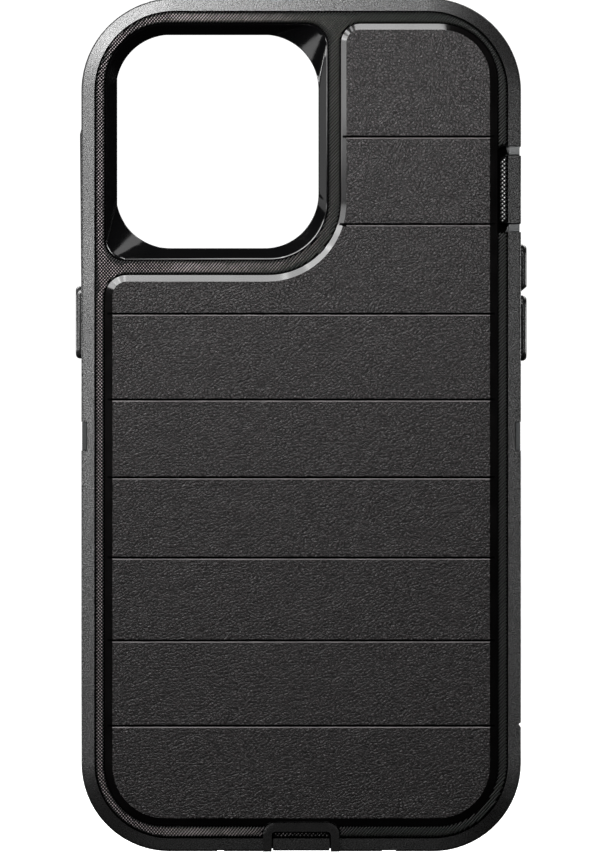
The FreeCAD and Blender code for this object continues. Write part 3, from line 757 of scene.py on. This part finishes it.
def add_world(level, seen):
    """Even studio surround that lights the case at level and is seen behind it at seen."""
    world = bpy.data.worlds.new("studio")
    bpy.context.scene.world = world
    world.use_nodes = True
    nodes, links = world.node_tree.nodes, world.node_tree.links
    background = nodes["Background"]
    background.inputs["Color"].default_value = (1, 1, 1, 1)
    rays = nodes.new("ShaderNodeLightPath")
    strength = nodes.new("ShaderNodeMapRange")
    strength.inputs["To Min"].default_value = level
    strength.inputs["To Max"].default_value = seen
    links.new(rays.outputs["Is Camera Ray"], strength.inputs["Value"])
    links.new(strength.outputs["Result"], background.inputs["Strength"])


def add_floor():
    """Plain floor under the case, which neither lights it nor shows in its reflections."""
    sides = ((-1, -1), (1, -1), (1, 1), (-1, 1))
    verts = [(FLOOR_REACH * x, FLOOR_REACH * y, -FLOOR_DROP) for x, y in sides]
    floor = mesh_object("floor", verts, [(0, 1, 2, 3)], smooth=False)
    paint(floor, floor_material())
    floor.visible_diffuse = False
    floor.visible_glossy = False


def add_stage():
    """Camera, surround, floor and lights."""
    add_camera()
    add_world(SURROUND_LEVEL, SURROUND_SEEN)
    add_floor()
    for light in LIGHTS + SCREEN_SIDE_LIGHTS:
        add_area(*light)
    bpy.context.scene.view_settings.view_transform = "Standard"


# ---------------------------------------------------------------- the case

def ring_normals(outline):
    """Outward unit normals of a closed anticlockwise outline."""
    step = np.roll(outline, -1, axis=0) - np.roll(outline, 1, axis=0)
    normals = np.column_stack((step[:, 1], -step[:, 0]))
    return normals / np.linalg.norm(normals, axis=1)[:, None]


def button_moat(name, node, cap, side, split_z=None):
    """Bulging ring of thin rubber between a cap and the wall round it.

    side is 1 at the case's right and -1 at its left. split_z is where two neighbouring moats meet.
    """
    low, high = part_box(cap)
    cap_corners = box_corners(low[1], low[2], high[1], high[2], (CAP_END_ROUND,) * 4)
    inner = rounded_outline(cap_corners, MOAT_CORNER_STEPS)
    inner = inner[np.linalg.norm(np.roll(inner, -1, axis=0) - inner, axis=1) > SAME_POINT]
    normals = ring_normals(inner)
    reach = np.full(len(inner), MOAT_WIDTH)
    if split_z is not None:
        towards = math.copysign(1, split_z - (low[2] + high[2]) / 2)
        middle_y = (low[1] + high[1]) / 2
        wall = (high[1] - low[1]) / 2 + MOAT_WIDTH - np.abs(inner[:, 0] - middle_y)
        facing = normals[:, 1] * towards > LEAST_FACING
        to_wall = wall / np.maximum(np.abs(normals[:, 0]), LEAST_SHARE)
        to_split = (split_z - inner[:, 1]) * towards / np.maximum(normals[:, 1] * towards, LEAST_SHARE)
        reach[facing] = np.minimum(to_wall, to_split)[facing]
    reach -= 2 * MOAT_GAP
    rings = []
    for share in np.linspace(0, 1, MOAT_STEPS):
        place = inner + normals * (MOAT_GAP + reach * share)[:, None]
        rings.append((place, MOAT_FOOT + MOAT_RISE * math.sin(math.pi * share) ** MOAT_FULLNESS))
    for share in np.linspace(1, 0, MOAT_STEPS):
        place = inner + normals * (MOAT_GAP + reach * share)[:, None]
        rise = MOAT_INNER_SHARE * MOAT_RISE * math.sin(math.pi * share)
        rings.append((place, MOAT_FOOT - MOAT_THICKNESS + rise))
    verts = [(side * x, p[0], p[1]) for place, x in rings for p in place]
    count = len(inner)
    faces = []
    for ring in range(len(rings)):
        following = (ring + 1) % len(rings)
        for a in range(count):
            b = (a + 1) % count
            face = (ring * count + a, ring * count + b, following * count + b, following * count + a)
            faces.append(face[::-1] if side > 0 else face)
    piece = mesh_object(name, verts, faces)
    paint(piece, materials["web"])
    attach(piece, ROOT_BODY)
    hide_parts(node)
    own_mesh(piece)


def hinge_strap(name, node, along, low, high, outer, inner):
    """Thin strap that joins a flap to the cover: it runs in Y, and its outer face dips a little in the middle.

    along is the axis index of its length, outer and inner its two faces on the other axis.
    """
    y0, y1 = low[1] - STRAP_OVERLAP, high[1] + STRAP_OVERLAP
    places = []
    for share in np.linspace(0, 1, STRAP_STEPS):
        dip = STRAP_DIP * math.sin(math.pi * share)
        y = y0 + (y1 - y0) * share
        places.append((y, outer + math.copysign(dip, inner - outer), inner))
    verts = []
    for end in (low[along], high[along]):
        for y, near, far in places:
            for depth in (near, far):
                verts.append((depth, y, end) if along == 2 else (end, y, depth))
    count = 2 * STRAP_STEPS
    faces = [tuple(range(0, count, 2)) + tuple(range(count - 1, 0, -2))]
    faces.append(tuple(count + index for index in reversed(faces[0])))
    for step in range(STRAP_STEPS - 1):
        a = 2 * step
        faces.append((a, a + count, a + 2 + count, a + 2))
        faces.append((a + 1, a + 3, a + 3 + count, a + 1 + count))
    faces.append((0, 1, 1 + count, count))
    faces.append((count - 2, 2 * count - 2, 2 * count - 1, count - 1))
    piece = mesh_object(name, verts, faces)
    outward_faces(piece)
    paint(piece, materials["web"])
    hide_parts(node)
    middle_x, _, middle_z = [(a + b) / 2 for a, b in zip(low, high)]
    start, end = (middle_x, low[1], middle_z), (middle_x, high[1], middle_z)
    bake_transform(piece)


def outward_faces(piece):
    """Turns the faces of a closed piece outwards."""
    mesh = bmesh.new()
    mesh.from_mesh(piece.data)
    bmesh.ops.recalc_face_normals(mesh, faces=mesh.faces)
    mesh.to_mesh(piece.data)
    mesh.free()


def cut_across(piece, x):
    """Splits the faces of a piece along the plane at x."""
    mesh = bmesh.new()
    mesh.from_mesh(piece.data)
    parts = mesh.verts[:] + mesh.edges[:] + mesh.faces[:]
    bmesh.ops.bisect_plane(mesh, geom=parts, plane_co=(x, 0, 0), plane_no=(1, 0, 0))
    mesh.to_mesh(piece.data)
    mesh.free()


def add_finishes(piece, *finishes):
    """Adds finishes to a piece that has one, and gives their places in its list."""
    first = len(piece.data.materials)
    for finish in finishes:
        piece.data.materials.append(materials[finish])
    return range(first, first + len(finishes))


def finish_panel(panel):
    """Leather grain on the panel's face, painted shade, near black, in its grooves, and a painted highlight on
    the up-facing lip under each groove.
    """
    face_x = panel_high[0] - FACE_INSET
    step_x = PANEL_STEP_X + STEP_INSET
    for x in (-face_x, face_x, step_x):
        cut_across(panel, x)
    panel.modifiers.clear()
    tidy_normals(panel.data, PANEL_SHADE_ANGLE)
    leather, gap, lip = add_finishes(panel, "leather", "gap", "lip")
    for face in panel.data.polygons:
        x, y, z = face.center
        flat = face.normal[1] < FACES_BACK
        sunk = y > PANEL_FACE_Y + SUNK_DEPTH
        over_face = abs(x) < face_x and (x > step_x or z < PANEL_STEP_Z)
        if flat and not sunk:
            face.material_index = leather
        # Faces just under each groove that face up get the lip's painted highlight.
        elif sunk and over_face and y < BACK_Y and UPRIGHT < face.normal[2] < LIP_UPRIGHT:
            face.material_index = lip
        # Faces in the grooves are painted shade, near black.
        elif flat or abs(face.normal[2]) > UPRIGHT:
            face.material_index = gap


def inset_from_edge(x, z):
    """How far inside the case's outline a point lies."""
    bottom_radius, top_radius = CASE_CORNERS[0], CASE_CORNERS[2]
    radius = (bottom_radius if z < CASE_TOP / 2 else top_radius) * MM
    past_x = abs(x) - (CASE_SIDE - radius)
    past_z = abs(z - CASE_TOP / 2) - (CASE_TOP / 2 - radius)
    outside = math.hypot(max(past_x, 0), max(past_z, 0)) + min(max(past_x, past_z), 0)
    return radius - outside


def blacken_gaps(piece):
    """Painted shade, near black, under the knurl and in the gaps that are cut into the back of a rubber piece.
    """
    (gap,) = add_finishes(piece, "gap")
    for face in piece.data.polygons:
        x, y, z = face.center
        deep = BACK_Y + PLANE_SLACK < y < GAP_FLOOR_Y
        under_knurl = abs(y - BACK_Y) < PLANE_SLACK and face.normal[1] < FACES_BACK
        if under_knurl or (deep and inset_from_edge(x, z) > BAND_INSET):
            face.material_index = gap


def finish_shell(shell):
    """Lighter plastic tone on the lugs that fill the windows in the rubber, and painted shade, near black, on
    the shell's back faces.
    """
    lug, gap = add_finishes(shell, "lug", "gap")
    for face in shell.data.polygons:
        if abs(face.center[0]) > LUG_X:
            face.material_index = lug
        elif face.normal[1] < FACES_BACK:
            face.material_index = gap


def cover_knurl():
    """Knurled strip of the slipcover, round the panel and the camera window."""
    low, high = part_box("ringer_flap")
    bottom, top = low[2] - RECESS_BELOW, high[2] + RECESS_ABOVE
    recess = box_corners(RECESS_LEFT, bottom, RECESS_RIGHT, top, RECESS_CORNERS)
    arch = box_corners(-ARCH_SIDE, ARCH_FOOT, ARCH_SIDE, ARCH_TOP, ARCH_CORNERS)
    holes = [
        panel_outline(PANEL_MARGIN),
        window_outline(STRIP_MARGIN),
        rounded_outline(recess),
        rounded_outline(arch),
    ]
    piece = knurl("slipcover_knurl", ROOT_BODY, case_outline(STRIP_INSET), holes)
    paint(piece, materials["knurl"])


def flap_knurl(name, flap, corners, finish):
    """Coarser crossed knurl on the back face of a flap."""
    piece = knurl(name, flap, rounded_outline(corners), [], FLAP_PITCH, crossed=True)
    paint(piece, materials[finish])


def flap_knurls():
    """Knurl on both flaps."""
    low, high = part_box("ringer_flap")
    left, right = low[0] + RINGER_LEFT, low[0] + RINGER_RIGHT
    corners = box_corners(left, low[2] + RINGER_END, right, high[2] - RINGER_END, RINGER_CORNERS)
    flap_knurl("ringer_flap_knurl", "ringer_flap", corners, "flap_knurl")
    low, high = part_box("port_flap")
    left, right = low[0] + PORT_SIDE, high[0] - PORT_SIDE
    corners = box_corners(left, STRIP_INSET, right, high[2] - PORT_TOP, PORT_CORNERS)
    flap_knurl("port_flap_knurl", "port_flap", corners, "knurl")


add_stage()

materials = {
    "slipcover": slipcover_rubber(),
    "knurl": knurl_rubber("knurl_rubber", KNURL_VALLEY_SHADE, KNURL_CREST, KNURL_RIGHT_LIGHT_SHARE),
    "flap_knurl": knurl_rubber("flap_knurl_rubber", FLAP_VALLEY_SHADE, FLAP_CREST, 1.0),
    "gap": gap_black(),
    "leather": panel_leather(),
    "edge": panel_edge(),
    "lip": groove_lip_highlight(),
    "bezel": bezel_gloss(),
    "shell": shell_plastic("shell_plastic", (0.014, 0.0144, 0.0148), (0.018, 0.0186, 0.019)),
    "lug": shell_plastic("lug_plastic", (0.022, 0.0235, 0.024), (0.027, 0.0285, 0.029)),
    "button": button_rubber(),
    "web": web_rubber(),
    "liner": liner_foam(),
}

# node: its finish, the width and segments of its rounded edges, and the record's slot
MOULDED = {
    "inner_back_shell": ("shell", SHELL_EDGE, 2, "shell_plastic"),
    "inner_front_frame": ("shell", SHELL_EDGE, 2, "shell_plastic"),
    "liner_pad": ("liner", SHELL_EDGE, 2, "liner_foam"),
    "camera_bezel": ("bezel", BEZEL_EDGE, 1, "bezel_gloss"),
    "slipcover": ("slipcover", CASE_EDGE, 2, "slipcover_rubber"),
    "grip_panel": ("edge", 0, 1, "panel_rubber"),
    "side_button": ("button", CASE_EDGE, 2, "button_rubber"),
    "volume_up_button": ("button", CASE_EDGE, 2, "button_rubber"),
    "volume_down_button": ("button", CASE_EDGE, 2, "button_rubber"),
    "ringer_flap": ("slipcover", CASE_EDGE, 2, "slipcover_rubber"),
    "port_flap": ("slipcover", CASE_EDGE, 2, "slipcover_rubber"),
}
moulded = {}
for node_name, (finish, edge, segments, slot_name) in MOULDED.items():
    moulded[node_name] = soft_copy(node_name, edge, segments)
    paint(moulded[node_name], materials[finish])

finish_panel(moulded["grip_panel"])
for node_name in ("slipcover", "ringer_flap", "port_flap"):
    blacken_gaps(moulded[node_name])
for node_name in ("inner_back_shell", "inner_front_frame"):
    finish_shell(moulded[node_name])
cover_knurl()
flap_knurls()

SPLIT_Z = (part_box("volume_up_web")[0][2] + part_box("volume_down_web")[1][2]) / 2
button_moat("side_button_moat", "side_button_web", "side_button", -1)
button_moat("volume_up_moat", "volume_up_web", "volume_up_button", 1, SPLIT_Z)
button_moat("volume_down_moat", "volume_down_web", "volume_down_button", 1, SPLIT_Z)

hinge_low, hinge_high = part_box("ringer_flap_hinge")
hinge_strap("ringer_flap_strap", "ringer_flap_hinge", 2,
            hinge_low, hinge_high, hinge_high[0], hinge_low[0])
hinge_low, hinge_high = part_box("port_flap_hinge")
hinge_strap("port_flap_strap", "port_flap_hinge", 0,
            hinge_low, hinge_high, hinge_low[2], hinge_high[2])
